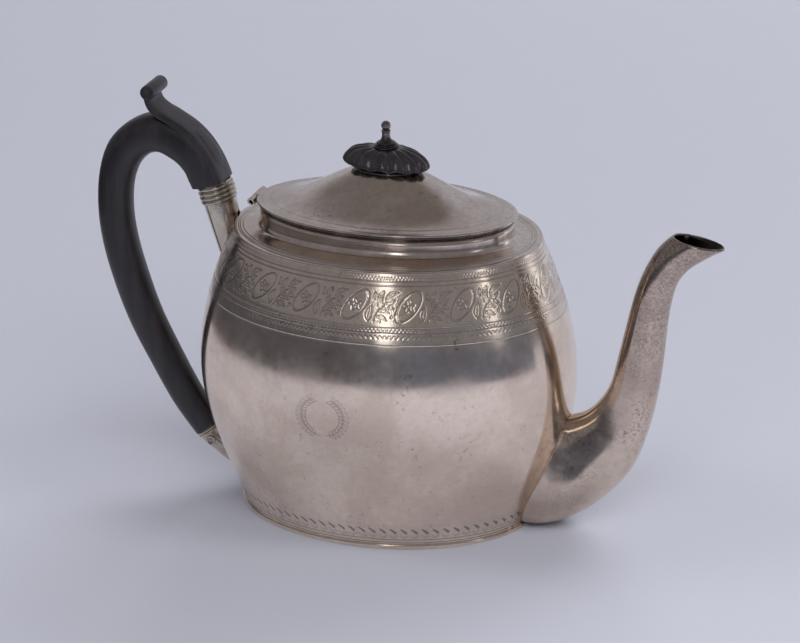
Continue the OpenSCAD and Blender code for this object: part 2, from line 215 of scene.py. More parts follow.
def ramp(tree, source, low, high, a=0.0, b=1.0):
    """Maps low..high of a value to a..b, clamped and eased."""
    node = add(tree, "ShaderNodeMapRange", interpolation_type="SMOOTHSTEP")
    tree.links.new(source, node.inputs["Value"])
    for key, value in (("From Min", low), ("From Max", high), ("To Min", a), ("To Max", b)):
        node.inputs[key].default_value = value
    return node.outputs["Result"]


def mix_colour(tree, factor, a, b):
    node = add(tree, "ShaderNodeMix", data_type="RGBA", blend_type="MIX")
    for socket, value in ((0, factor), (6, a), (7, b)):
        if isinstance(value, (int, float)):
            node.inputs[socket].default_value = value
        elif isinstance(value, tuple):
            node.inputs[socket].default_value = (*value, 1)
        else:
            tree.links.new(value, node.inputs[socket])
    return node.outputs[2]


def combine(tree, operation, a, b):
    node = add(tree, "ShaderNodeMath", operation=operation)
    for socket, value in ((0, a), (1, b)):
        if isinstance(value, (int, float)):
            node.inputs[socket].default_value = value
        else:
            tree.links.new(value, node.inputs[socket])
    return node.outputs["Value"]


def bump(tree, height, distance, normal=None):
    node = add(tree, "ShaderNodeBump")
    node.inputs["Distance"].default_value = distance
    node.inputs["Strength"].default_value = 1.0
    tree.links.new(height, node.inputs["Height"])
    if normal is not None:
        tree.links.new(normal, node.inputs["Normal"])
    return node.outputs["Normal"]


def silver(name, clean, stain, speck, rough=(0.2, 0.36), patch=(0.42, 0.62), speck_at=(0.58, 0.72),
           wave=0.0001, ink=0.0, haze=0.35, grain=420, tarnish_and_shade_z=None):
    """Old polished silver: cloudy tarnish, dark specks, fine scratches and a slightly wavy surface.

    speck is also the colour in engraved cuts, as strong as ink; the height range, in metres, is where a
    darker blotched and pitted colour comes in: partly real tarnish, partly painted shade.
    """
    material, tree, shader = node_material(name)
    clouds = ramp(tree, noise(tree, 26, 5, 0.62, distort=0.4), *patch)
    specks = ramp(tree, noise(tree, grain, 4, 0.7), *speck_at)
    mottled = ramp(tree, noise(tree, 75, 5, 0.66), 0.4, 0.68)
    colour = mix_colour(tree, clouds, clean, stain)
    fine = ramp(tree, noise(tree, 330, 6, 0.78), 0.35, 0.7, 0.0, haze)
    colour = mix_colour(tree, fine, colour, tuple(0.8 * c for c in stain))
    colour = mix_colour(tree, combine(tree, "MULTIPLY", specks, mottled), colour, speck)
    # Higher up, darker blotches and pits: partly real tarnish, partly painted shade.
    if tarnish_and_shade_z is not None:
        apart = add(tree, "ShaderNodeSeparateXYZ")
        tree.links.new(add(tree, "ShaderNodeTexCoord").outputs["Object"], apart.inputs["Vector"])
        height = ramp(tree, apart.outputs["Z"], *tarnish_and_shade_z)
        blotch = ramp(tree, noise(tree, 520, 6, 0.75), 0.36, 0.66, 0.15, 0.8)
        deep_stain_and_shade = tuple(0.6 * c for c in stain)
        colour = mix_colour(tree, combine(tree, "MULTIPLY", height, blotch), colour, deep_stain_and_shade)
        pits = ramp(tree, noise(tree, 1300, 4, 0.75), 0.5, 0.64)
        colour = mix_colour(tree, combine(tree, "MULTIPLY", height, pits), colour, speck)
    if ink > 0:
        cut = add(tree, "ShaderNodeVertexColor", layer_name="cut").outputs["Color"]
        dark = ramp(tree, cut, 0.2, 1.0, 0, ink)
        colour = mix_colour(tree, dark, colour, speck)
    tree.links.new(colour, shader.inputs["Base Color"])
    scratches = noise(tree, 900, 2, 0.6, stretch=(1, 1, 0.06, 0.5, 0.2, 0.1))
    crossing = noise(tree, 1100, 2, 0.6, stretch=(0.05, 1, 1, 0.1, 0.6, 0.3))
    lines = ramp(tree, combine(tree, "MAXIMUM", scratches, crossing), 0.5, 0.8)
    worn = combine(tree, "ADD", ramp(tree, noise(tree, 60, 5, 0.6), 0.35, 0.7),
                   combine(tree, "MULTIPLY", lines, 0.3))
    tree.links.new(ramp(tree, worn, 0, 1.3, *rough), shader.inputs["Roughness"])
    normal = bump(tree, noise(tree, 20, 1, 0.4), wave * 4)
    normal = bump(tree, noise(tree, 70, 2, 0.45), wave * 0.25, normal=normal)
    tree.links.new(normal, shader.inputs["Normal"])
    shader.inputs["Metallic"].default_value = 1.0
    return material


def ebony(name, rough=(0.30, 0.46), wave=0.0006, gloss=0.65):
    """Dark waxed wood with long pores."""
    material, tree, shader = node_material(name)
    grain = noise(tree, 240, 5, 0.65, stretch=(1, 1, 0.09, 0, 0.25, 0))
    pores = ramp(tree, noise(tree, 700, 3, 0.6, stretch=(1, 1, 0.05, 0, 0.25, 0)), 0.6, 0.72)
    colour = mix_colour(tree, ramp(tree, grain, 0.38, 0.66), (0.0095, 0.008, 0.0105), (0.024, 0.0195, 0.024))
    colour = mix_colour(tree, pores, colour, (0.032, 0.026, 0.027))
    tree.links.new(colour, shader.inputs["Base Color"])
    tree.links.new(ramp(tree, grain, 0.3, 0.75, *rough), shader.inputs["Roughness"])
    normal = bump(tree, noise(tree, 40, 2, 0.4), wave)
    normal = bump(tree, grain, 0.00006, normal=normal)
    tree.links.new(bump(tree, pores, 0.00003, normal=normal), shader.inputs["Normal"])
    shader.inputs["Specular IOR Level"].default_value = gloss
    return material


SILVER_BODY = silver("silver_body", (0.94, 0.795, 0.665), (0.80, 0.655, 0.535), (0.36, 0.275, 0.23),
                     rough=(0.12, 0.21))
SILVER_CUT = silver("silver_engraved", (0.90, 0.785, 0.675), (0.76, 0.65, 0.55), (0.20, 0.16, 0.14),
                    rough=(0.14, 0.24), ink=0.4)
SILVER_BORDER = silver("silver_border", (0.90, 0.77, 0.65), (0.76, 0.63, 0.52), (0.14, 0.11, 0.10),
                       rough=(0.14, 0.24), ink=0.85)
SILVER_LID = silver("silver_lid", (0.86, 0.76, 0.685), (0.70, 0.595, 0.52), (0.26, 0.205, 0.18),
                    rough=(0.15, 0.26), wave=0.00005, ink=0.5, haze=0.55)
# The spout's silver is darker than the body's, and darker again from 50 to 105 mm up: partly real tarnish,
# partly painted shade where the spout reflects its dark surroundings.
SILVER_SPOUT = silver("silver_spout", (0.76, 0.635, 0.525), (0.60, 0.485, 0.405), (0.26, 0.185, 0.18),
                      rough=(0.11, 0.22), wave=0.00004, speck_at=(0.5, 0.66), haze=0.5, grain=950,
                      tarnish_and_shade_z=(0.05, 0.105))
# Darker, greyer silver for the handle sockets, their reeded collars and the small fittings: painted shade
# standing in for the dark reflections and shadow on the sockets.
SILVER_SMALL_SHADED = silver("silver_small_shaded", (0.74, 0.68, 0.59), (0.56, 0.49, 0.41), (0.18, 0.15, 0.135),
                      rough=(0.16, 0.3), wave=0.00006)
# Darkened silver: painted shade on the body lining, the neck ring under the lid's edge, the lid ring inside
# the neck, the button seat under the button and the finial nut under the lid; the finial stem is given it
# too.
SILVER_DARK = silver("silver_dark", (0.36, 0.335, 0.315), (0.2, 0.18, 0.175), (0.07, 0.06, 0.06),
                     rough=(0.18, 0.34), wave=0.00005)
SILVER_STAIN = silver("silver_stain", (0.62, 0.515, 0.425), (0.5, 0.41, 0.34), (0.3, 0.24, 0.2),
                      rough=(0.2, 0.3))
# Near-black silver: painted shade inside the spout, on its inner faces and on the tab within it.
SILVER_INSIDE_SHADE = silver("silver_inside_shade", (0.10, 0.085, 0.08), (0.05, 0.042, 0.04), (0.02, 0.017, 0.017),
                       rough=(0.4, 0.55), wave=0.0001)
WOOD = ebony("ebonised_wood")
SILVER_BLACK = silver("silver_black", (0.17, 0.155, 0.15), (0.09, 0.08, 0.078), (0.03, 0.026, 0.026),
                      rough=(0.14, 0.26))
WOOD_POLISHED = ebony("ebonised_wood_polished", rough=(0.12, 0.2), wave=0.0001, gloss=1.0)


def finish(obj, body, material, slot, *nodes):
    """Gives a piece its material and body, and hides the CAD nodes that it stands for."""
    obj.data.materials.clear()
    obj.data.materials.append(material)
    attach(obj, body)
    if nodes:
        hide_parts(*nodes)
    return obj


# ---------------------------------------------------------------- engraving

def strokes_depth(p, q, strokes):
    """Depth 0..1 of engraved strokes at points (p, q). A stroke is (points, width)."""
    depth = np.zeros(np.broadcast(p, q).shape)
    for points, width in strokes:
        points = np.asarray(points, float)
        nearest = np.full(depth.shape, 1e9)
        for (ax, ay), (bx, by) in zip(points[:-1], points[1:]):
            dx, dy = bx - ax, by - ay
            t = np.clip(((p - ax) * dx + (q - ay) * dy) / (dx * dx + dy * dy + 1e-12), 0, 1)
            nearest = np.minimum(nearest, np.hypot(p - ax - t * dx, q - ay - t * dy))
        depth = np.maximum(depth, smooth(1 - nearest / width))
    return depth


def leaf_strokes(base, tip, width, bend=0.0, rib=True):
    """Outline and rib of a pointed leaf."""
    base, tip = np.array(base, float), np.array(tip, float)
    along = tip - base
    side = np.array([-along[1], along[0]])
    side /= np.linalg.norm(side)
    t = np.linspace(0, 1, 11)[:, None]
    spine = base + along * t + side * bend * np.sin(math.pi * t)
    half = width * np.sin(math.pi * t ** 0.8)
    result = [(spine + side * half, 0.36), (spine - side * half, 0.36)]
    if rib:
        result.append((spine[2:9], 0.3))
    return result


def ring_stroke(x, y, radius, width, lobes=0, depth=0.0, count=33, turn=0.0):
    a = np.linspace(0, TAU, count)
    r = radius + depth * np.cos(lobes * (a - turn))
    return [(np.stack([x + r * np.cos(a), y + r * np.sin(a)], 1), width)]


OVAL_LEAN = 0.56


def band_cell():
    """Strokes of one repeat of the band: a leaning oval with a flower, and a leafy spray beside it."""
    a = np.linspace(0, TAU, 49)
    strokes = []
    for rx, ry, width in ((4.2, 6.6, 0.42), (3.8, 6.1, 0.26)):
        q = ry * np.sin(a)
        strokes.append((np.stack([rx * np.cos(a) + OVAL_LEAN * q, q], 1), width))
    strokes += ring_stroke(0, 0, 2.0, 0.36, 5, 0.6, 49, 0.4)
    strokes += ring_stroke(0, 0, 0.5, 0.38)
    for i in range(4):
        b = 0.4 + i * math.pi / 2
        petal = [(0.8 * math.cos(b), 0.8 * math.sin(b)), (1.7 * math.cos(b), 1.7 * math.sin(b))]
        strokes.append((petal, 0.3))
    spray = []
    spray += leaf_strokes((-6.0, -6.3), (-4.3, 0.2), 1.25, 0.5)
    spray += leaf_strokes((-0.6, 2.0), (0.8, 6.3), 1.05, 0.6)
    spray += leaf_strokes((1.6, 2.6), (7.6, 5.9), 0.9, 0.9)
    spray += leaf_strokes((1.8, 1.2), (5.6, 2.9), 0.95, -0.3)
    spray += leaf_strokes((-1.8, -2.2), (2.9, -2.9), 1.15, 1.0)
    spray += leaf_strokes((-2.6, -4.6), (1.6, -6.0), 0.9, 0.7)
    spray += leaf_strokes((-2.0, 2.4), (-2.9, 6.0), 0.85, 0.4)
    spray += leaf_strokes((2.4, -0.4), (5.2, -1.2), 0.8, 0.3, False)
    spray.append(([(-3.6, -6.4), (-2.9, -3.8), (-1.4, -1.4), (0.3, 0.6), (2.0, 1.8)], 0.42))
    spray += ring_stroke(-0.6, 0.7, 1.15, 0.4, 5, 0.3, 41)
    spray += ring_stroke(-0.6, 0.7, 0.35, 0.32)
    spray += ring_stroke(-3.3, 3.0, 0.45, 0.32)
    spray += ring_stroke(3.9, -4.4, 0.5, 0.32)
    spray += ring_stroke(-1.2, -6.3, 0.4, 0.3)
    return strokes, spray


def zigzag(p, q, pitch, height, width):
    """Depth of a wriggled line about q = 0."""
    phase = (p / pitch) % 1.0
    wave = height * (1 - 4 * np.abs(phase - 0.5))
    slope = 4 * height / pitch
    return smooth(1 - np.abs(q - wave) / (width * math.hypot(1, slope)))


def lines_at(v, levels, width):
    depth = np.zeros_like(v)
    for level in levels:
        depth = np.maximum(depth, smooth(1 - np.abs(v - level) / width))
    return depth


def body_points(angles, down, depth):
    """Points of the body wall at angles (columns) and distances down it (rows), sunk by depth."""
    r, z = body_profile(down)
    step = 0.5
    r2, z2 = body_profile(np.asarray(down) + step)
    r1, z1 = body_profile(np.asarray(down) - step)
    slope = (r1 - r2) / np.where(np.abs(z1 - z2) < 1e-6, 1e-6, z1 - z2)
    c, s = np.cos(angles)[None], np.sin(angles)[None]
    r, z, slope = r[:, None], z[:, None], slope[:, None]
    normal = np.stack(np.broadcast_arrays(c, s / BODY_OVAL, -slope), -1)
    normal = normal / np.linalg.norm(normal, axis=-1, keepdims=True)
    points = np.stack(np.broadcast_arrays(r * c, BODY_OVAL * r * s, z + 0 * c), -1)
    return points - normal * depth[..., None]


# ---------------------------------------------------------------- body

BAND_REPEATS, BAND_CELL, BAND_DOWN, BAND_ROWS = 18, 78, 30.2, 110
BAND_PHASE = 2.69
BAND_MIDDLE = 13.4
BAND_LENGTH, BORDER_LENGTH = 390.0, 353.0
BORDER_REPEATS, BORDER_CELL, BORDER_ROWS = 82, 12, 26
BORDER_H = 10.0


def engraved_band():
    columns = BAND_REPEATS * BAND_CELL
    angles = oval_angles(BODY_OVAL, columns, BAND_PHASE * BAND_CELL)
    down = np.linspace(0, BAND_DOWN, BAND_ROWS)
    pitch = BAND_LENGTH / BAND_REPEATS
    p = (np.arange(BAND_CELL) / BAND_CELL * pitch)[None]
    q = (BAND_MIDDLE - down)[:, None]
    flower, spray = band_cell()
    inside = np.abs(q) < 6.9
    cell = np.zeros((BAND_ROWS, BAND_CELL))
    for shift in (0, pitch):
        oval = strokes_depth(p - shift, q, flower)
        cell = np.maximum(cell, oval)
    leaves = strokes_depth(p - pitch / 2, q, spray)
    in_oval = np.zeros_like(cell)
    for shift in (0, pitch):
        x = p - shift - OVAL_LEAN * q
        in_oval = np.maximum(in_oval, (x / 4.1) ** 2 + (q / 6.5) ** 2 < 1.0)
    cell = np.maximum(cell, np.where(in_oval > 0, 0, leaves))
    cell = np.where(inside, cell, 0)
    depth = np.tile(cell, (1, BAND_REPEATS))
    # The ground between the ovals is matted with small punched dots.
    dots = np.sin(p * 7.9 + 2.0 * np.sin(q * 2.3)) * np.sin(q * 8.3 + 2.0 * np.sin(p * 1.9))
    ground = 0.32 * smooth((dots - 0.15) / 0.5) * inside * (in_oval < 1)
    depth = np.maximum(depth, np.tile(ground, (1, BAND_REPEATS)))
    run = np.arange(columns)[None] / columns * BAND_LENGTH
    v = down[:, None] + 0 * run
    depth = np.maximum(depth, lines_at(v, (3.1, 4.9, 22.4, 24.5, 29.9), 0.4))
    wriggle = zigzag(run, v - 1.7, 1.5, 0.55, 0.26) * 0.8
    wriggle = np.maximum(wriggle, zigzag(run + 0.4, v - 23.45, 1.5, 0.5, 0.26) * 0.7)
    wriggle = np.maximum(wriggle, zigzag(run, v - 26.2, 1.9, 0.7, 0.24) * 0.6)
    depth = np.maximum(depth, wriggle)
    edge = smooth(down / 0.6)[:, None]
    depth = depth * edge
    points = body_points(angles, down, 0.12 * depth)
    return grid("engraved_band", points, depth, flip=True)


def base_border():
    columns = BORDER_REPEATS * BORDER_CELL
    angles = oval_angles(BODY_OVAL, columns)
    down = np.linspace(BODY_ARC - BORDER_H, BODY_ARC, BORDER_ROWS)
    up = (BODY_ARC - down)[:, None]
    pitch = BORDER_LENGTH / BORDER_REPEATS
    p = ((np.arange(columns) % BORDER_CELL) / BORDER_CELL * pitch)[None]
    depth = np.zeros((BORDER_ROWS, columns))
    wedge = [([(-1.3, 6.9), (0.9, 4.6)], 0.75), ([(-0.4, 6.6), (1.3, 5.2)], 0.4)]
    chevron = [([(-1.6, 4.1), (0.1, 2.6), (1.8, 4.1)], 0.32),
               ([(-1.6, 3.2), (0.1, 1.9), (1.8, 3.2)], 0.32)]
    for shift in (-pitch, 0, pitch):
        x = p - shift - pitch / 2
        depth = np.maximum(depth, strokes_depth(x, up, wedge))
        depth = np.maximum(depth, 0.8 * strokes_depth(x, up, chevron))
    depth = np.maximum(depth, lines_at(up + 0 * p, (1.3,), 0.45))
    depth = depth * smooth((BORDER_H - up) / 0.8)
    return grid("base_border", body_points(angles, down, 0.2 * depth), depth, flip=True)


def body_wall():
    down = np.linspace(BAND_DOWN, BODY_ARC - BORDER_H, 64)
    angles = oval_angles(BODY_OVAL, 420)
    outer = body_points(angles, down, np.zeros((len(down), 420)))
    return grid("body_wall", outer, flip=True)


def body_lining():
    """The inside of the body, from the top edge down to the foot."""
    down = np.linspace(0, BODY_ARC, 30)
    angles = oval_angles(BODY_OVAL, 160)
    return grid("body_lining", body_points(angles, down, np.full((30, 160), WALL)))


finish(body_wall(), "pot", SILVER_BODY, "silver", "body_shell")
finish(engraved_band(), "pot", SILVER_CUT, "silver")
finish(base_border(), "pot", SILVER_BORDER, "silver")
# The lining is darkened silver: painted shade inside the pot.
finish(body_lining(), "pot", SILVER_DARK, "silver")


WREATH_RX, WREATH_RZ, WREATH_LEAF, WREATH_LINE = 7.2, 8.4, 2.7, 0.09
WREATH_Z, WREATH_ANGLE, WREATH_REACH, WREATH_LIFT = 62.0, math.radians(-96.0), 62.0, 0.035


def wreath():
    """A faint generic laurel wreath: two leafy sprays, laid on the body as hair-thin ribbons."""
    strokes = []
    for side in (-1, 1):
        strokes.append([(side * WREATH_RX * math.sin(b), -WREATH_RZ * math.cos(b))
                        for b in np.linspace(0.12, 2.75, 14)])
        for k in range(1, 13):
            b = 0.12 + k * 0.2
            base = np.array((side * WREATH_RX * math.sin(b), -WREATH_RZ * math.cos(b)))
            for out in (-1, 1):
                way = np.array((side * math.cos(b + out * 0.75), math.sin(b + out * 0.75)))
                tip = base + WREATH_LEAF * way
                for bend in (-0.5, 0.5):
                    turned_way = np.array((-(tip - base)[1], (tip - base)[0]))
                    middle = (base + tip) / 2 + bend * turned_way / WREATH_LEAF
                    strokes.append([base, middle, tip])
    points, faces = [], []
    for stroke in strokes:
        line = catmull(np.array(stroke), np.linspace(0, len(stroke) - 1, 4 * len(stroke)))
        run = np.gradient(line, axis=0)
        across = np.stack([-run[:, 1], run[:, 0]], 1)
        across = across / np.linalg.norm(run, axis=1, keepdims=True) * WREATH_LINE
        for edge in (line - across, line + across):
            z = WREATH_Z + edge[:, 1]
            angle = WREATH_ANGLE + edge[:, 0] / WREATH_REACH
            r = body_radius(z) + WREATH_LIFT
            points.append(np.stack([r * np.cos(angle), BODY_OVAL * r * np.sin(angle), z], 1))
        start = sum(len(p) for p in points[:-2])
        n = len(line)
        faces += [(start + k, start + k + 1, start + n + k + 1, start + n + k) for k in range(n - 1)]
    return make_mesh("engraved_wreath", np.vstack(points), faces)


finish(wreath(), "pot", SILVER_STAIN, "silver")


def foot():
    outline = [(60.2, 0.0), (62.6, 0.0), (63.2, 0.15), (63.5, 0.6), (63.5, 1.4), (63.3, 1.9), (62.95, 2.2),
               (62.8, 2.4), (63.1, 2.6), (63.2, 2.9), (62.95, 3.2), (60.2, 3.2)]
    return turned("foot_ring", outline, BODY_OVAL, 360)


finish(foot(), "pot", SILVER_BODY, "silver", "foot_rim")


def wire():
    """Two reeds on the body's top edge."""
    outline = [(63.4, 121.8)]
    for base_z, reach in ((121.8, 65.35), (122.2, 65.1)):
        for a in np.linspace(-80, 80, 7):
            outline.append((reach - 0.3 + 0.3 * math.cos(math.radians(a)),
                            base_z + 0.2 + 0.2 * math.sin(math.radians(a)) / math.sin(math.radians(80))))
    outline.append((63.4, 122.6))
    return turned("top_reeds", outline, BODY_OVAL, 360, sharp=60)


finish(wire(), "pot", SILVER_LID, "silver", "shoulder_wire")


def shoulder_surface(angles, t, depth):
    """Points of the shoulder at shares t of the way in to the neck (rows), sunk by depth."""
    t = np.asarray(t, float)[:, None]
    u = np.abs(np.sin(t * math.pi / 2)) ** (2 / SHOULDER_SQUARE)
    w = np.abs(np.cos(t * math.pi / 2)) ** (2 / SHOULDER_SQUARE)
    inward = depth * u
    rx = SHOULDER_R + (NECK_R - SHOULDER_R) * u - inward
    ry = SHOULDER_R * BODY_OVAL + (NECK_R * LID_OVAL - SHOULDER_R * BODY_OVAL) * u - inward
    z = SHOULDER_Z + (NECK_TOP_Z - SHOULDER_Z) * (1 - w) - depth * w
    c, s = np.cos(angles)[None], np.sin(angles)[None]
    return np.stack(np.broadcast_arrays(rx * c, ry * s, z + 0 * c), -1)


def shoulder():
    angles = oval_angles(BODY_OVAL, 420)
    # Rows are spaced evenly in distance in from the edge while the surface is flat.
    share = np.concatenate([np.linspace(0, 0.4, 64)[:-1], np.linspace(0.4, 0.86, 22)[:-1]])
    t = np.arcsin(share ** (SHOULDER_SQUARE / 2)) * 2 / math.pi
    t = np.concatenate([t, np.linspace(t[-1], 1, 34)[1:]])
    u = np.sin(t * math.pi / 2)[:, None] ** (2 / SHOULDER_SQUARE) + 0 * angles[None]
    grooves = lines_at(u * 12.0, (0.7, 1.6, 3.1), 0.45)
    outer = shoulder_surface(angles, t, 0.16 * grooves)
    inner = shoulder_surface(angles, t[::3][::-1], WALL + 0 * grooves[::3])
    cut = np.concatenate([grooves, 0 * grooves[::3]])
    return grid("shoulder_cavetto", np.concatenate([outer, inner]), cut, loop=True)


finish(shoulder(), "pot", SILVER_LID, "silver", "shoulder")


def neck_ring():
    outline = [(53.0, 130.9), (54.0, 130.9), (54.25, 131.1), (54.3, 131.35), (54.2, 131.6), (54.0, 131.78),
               (53.0, 131.8)]
    return turned("neck_ring", outline, LID_OVAL, 300, sharp=50)


# The neck ring is darkened silver: painted shade under the lid's overhanging edge.
finish(neck_ring(), "pot", SILVER_DARK, "silver", "rim_wire")

# ---------------------------------------------------------------- hinge

HINGE_X, HINGE_Z, BARREL_R = -56.6, 131.3, 1.48


def knuckle(name, spans, tab):
    """Barrels along Y round the hinge line, with a flat tab from each; tab is (x to, z from, z to)."""
    sides, bevel = 40, 0.15
    a = np.linspace(0, TAU, sides, endpoint=False)
    points, faces = [], []
    for y0, y1 in spans:
        start = len(points)
        for y, r in ((y0, BARREL_R - bevel), (y0 + bevel, BARREL_R),
                     (y1 - bevel, BARREL_R), (y1, BARREL_R - bevel)):
            points += [(HINGE_X + r * math.cos(b), y, HINGE_Z + r * math.sin(b)) for b in a]
        faces += [tuple(start + i for i in f) for f in grid_faces(4, sides)]
        faces.append(tuple(range(start + sides - 1, start - 1, -1)))
        faces.append(tuple(range(start + 3 * sides, start + 4 * sides)))
        start = len(points)
        x0 = HINGE_X + 0.2
        x1, z0, z1 = tab
        points += [(x, y, z) for x in (x0, x1) for y in (y0, y1) for z in (z0, z1)]
        faces += [tuple(start + i for i in f) for f in
                  ((0, 1, 3, 2), (4, 6, 7, 5), (0, 4, 5, 1), (2, 3, 7, 6), (0, 2, 6, 4), (1, 5, 7, 3))]
    return make_mesh(name, points, faces, sharp=35)


finish(knuckle("hinge_outer_knuckles", ((-8.0, -2.7), (2.7, 8.0)), (-54.95, 130.0, 131.2)), "pot",
       SILVER_LID, "silver", "hinge_body_knuckles")
finish(knuckle("hinge_middle_knuckle", ((-2.5, 2.5),), (-55.0, 132.05, 132.75)), "lid",
       SILVER_LID, "silver", "hinge_lid_knuckle")

# ---------------------------------------------------------------- lid

LID_DENSE = bezier(LID_CURVE, np.linspace(0, 1, 1201))
LID_LENGTH = by_length(LID_DENSE)
LID_EDGE_LENGTH, LID_SHEET = 282.0, 0.9


def lid_profile(inward):
    inward = np.asarray(inward, float)
    return np.interp(inward, LID_LENGTH, LID_DENSE[:, 0]), np.interp(inward, LID_LENGTH, LID_DENSE[:, 1])


def lid_dome():
    columns = 720
    angles = oval_angles(LID_OVAL, columns)
    inward = np.concatenate([np.linspace(0, 7, 26)[:-1], np.linspace(7, LID_LENGTH[-1], 40)])
    r, z = lid_profile(inward)
    run = np.arange(columns)[None] / columns * LID_EDGE_LENGTH
    v = inward[:, None] + 0 * run
    cut = lines_at(v, (1.9, 5.9), 0.42) * 0.8
    cut = np.maximum(cut, zigzag(run, v - 3.9, 3.0, 1.3, 0.22) * 0.6)
    edge = [(55.0, LID_Z), (55.25, 132.15), (55.35, 132.45), (55.2, 132.75)]
    under_r, under_z = r[::-4].copy(), z[::-4] - LID_SHEET
    keep = under_r < 49.5
    under = np.stack([under_r[keep], under_z[keep]], 1)
    hole = [(8.0, DOME_Z), (1.7, DOME_Z), (1.7, DOME_Z - LID_SHEET), (8.0, DOME_Z - LID_SHEET)]
    outline = np.vstack([edge, np.stack([r, z], 1), hole, under, [(49.5, LID_Z)]])
    depth = np.zeros((len(outline), columns))
    depth[len(edge):len(edge) + len(r)] = cut
    c, s = np.cos(angles)[None], np.sin(angles)[None]
    rr = outline[:, :1]
    points = np.stack(np.broadcast_arrays(rr * c, LID_OVAL * rr * s, outline[:, 1:] - 0.12 * depth), -1)
    small = rr[:, 0] < 2.0
    points[small, :, 1] = (rr * s)[small]
    return grid("lid_dome", points, depth, loop=True, sharp=50)


finish(lid_dome(), "lid", SILVER_LID, "silver", "lid")


def lid_ring():
    outline = [(50.6, 127.6), (51.3, 127.6), (51.55, 127.9), (51.6, 128.4), (51.6, 132.0), (50.6, 132.0)]
    return turned("lid_ring", outline, LID_OVAL, 240)


# The lid ring is darkened silver: painted shade inside the neck.
finish(lid_ring(), "lid", SILVER_DARK, "silver", "lid_bezel")


def seat():
    outline = [(1.7, DOME_Z), (12.9, DOME_Z), (13.3, 148.85), (13.2, 149.15), (12.7, 149.3), (12.2, 149.45),
               (11.6, 149.6), (1.7, 149.6)]
    return turned("button_seat", outline, LID_OVAL, 160, sharp=60)


# The seat is darkened silver: painted shade under the button.
finish(seat(), "lid", SILVER_DARK, "silver", "finial_seat")


def button():
    """Oval fluted button: rounded lobes that swell to a rolled-under rim, worn to a slight lean."""
    columns = BUTTON_LOBES * 18
    a = np.arange(columns) / columns * TAU
    valley = 1 - np.abs(np.sin(a * BUTTON_LOBES / 2))
    rows = []
    for t in np.sin(np.linspace(0, math.pi / 2, 34)):
        scallop = 1 - 0.06 * t * valley ** 1.4
        drop = (BUTTON_TOP_Z - BUTTON_RIM_Z) * (1 - math.sqrt(1 - 0.99 * t ** 2.5)) / 0.9
        sink = 1.3 * smooth((t - 0.1) / 0.45) * valley ** 1.2 * (1 - 0.3 * t)
        r = BUTTON_R * (0.24 + 0.76 * t) * scallop
        rows.append(np.stack([r * np.cos(a), BUTTON_OVAL * r * np.sin(a), BUTTON_TOP_Z - drop - sink], 1))
    rim = rows[-1]
    for out, fall in ((-0.25, 0.6), (-1.1, 1.0), (-2.6, 1.25)):
        k = 1 + out / BUTTON_R
        rows.append(np.stack([rim[:, 0] * k, rim[:, 1] * k, np.maximum(rim[:, 2] - fall, BUTTON_BASE_Z)], 1))
    for row in rows:
        far = smooth((np.abs(row[:, 0]) - 5) / 8)
        row[:, 2] = np.maximum(row[:, 2] - BUTTON_LEAN * row[:, 0] * far, BUTTON_BASE_Z)
    for k in (0.7, 0.5, 0.12):
        rows.append(np.stack([rim[:, 0] * k, rim[:, 1] * k, np.full(columns, BUTTON_BASE_Z)], 1))
    return grid("fluted_button", rows, cap_start=True, cap_end=True)


finish(button(), "lid", WOOD_POLISHED, "ebonised_wood", "finial_button")


def round_turned(name, outline, columns=64, sharp=40):
    return turned(name, outline, 1.0, columns, sharp=sharp)


def arc_outline(cx, cz, r, start, end, count=8):
    return [(cx + r * math.cos(math.radians(a)), cz + r * math.sin(math.radians(a)))
            for a in np.linspace(start, end, count)]


finish(round_turned("button_collar", [(1.6, 158.4), (4.5, 158.4)] + arc_outline(4.8, 158.8, 0.4, -80, 80)
                    + arc_outline(4.2, 159.45, 0.35, -60, 80) + [(1.6, 159.8)]),
       "lid", SILVER_BLACK, "dark_silver", "finial_collar")
finish(round_turned("stem_cap", [(1.6, 159.8), (3.4, 159.8)] + arc_outline(3.55, 160.15, 0.35, -80, 60)
                    + [(3.1, 160.7), (2.5, 161.2), (2.1, 161.7), (1.9, 162.2), (1.8, 162.6), (1.6, 162.6)]),
       "lid", SILVER_BLACK, "dark_silver", "finial_cap")


def stem():
    outline = [(0.0, 143.8), (1.3, 143.8), (1.5, 144.0), (1.5, 162.6), (1.75, 162.6), (1.7, 163.2),
               (1.7, 164.0), (1.75, 164.8)]
    outline += arc_outline(1.6, 165.25, 0.35, -70, 70, 6) + [(1.4, 165.7)]
    outline += arc_outline(0, 167.4, 2.0, -52, 90, 14)
    points = np.array(outline)
    points[points[:, 0] < 1e-6, 0] = 0.0005
    return turned("stem_and_ball", points, 1.0, 48, loop=False, sharp=45)


finish(stem(), "lid", SILVER_DARK, "dark_silver", "finial_bolt")

# ---------------------------------------------------------------- swept pieces

def ring_points(rows, sides):
    """Rings round stations, whose columns are x, z, direction, half depth, half width and squareness.

    A seventh column, where there is one, is the share by which the top of the ring is narrowed.
    """
    a = (np.arange(sides) + 0.5) / sides * TAU
    c, s = np.cos(a), np.sin(a)
    x, z, direction, p, q, n = (rows[..., i] for i in range(6))
    turn = np.radians(direction)
    taper = rows[..., 6] if rows.shape[-1] > 6 else 0.0
    n = n + 1.8 * taper * (c > 0)
    u = p * np.sign(c) * np.abs(c) ** (2 / n)
    v = q * np.sign(s) * np.abs(s) ** (2 / n) * (1 - taper * (1 + u / p) / 2)
    return np.stack([x - np.sin(turn) * u, v, z + np.cos(turn) * u], -1)


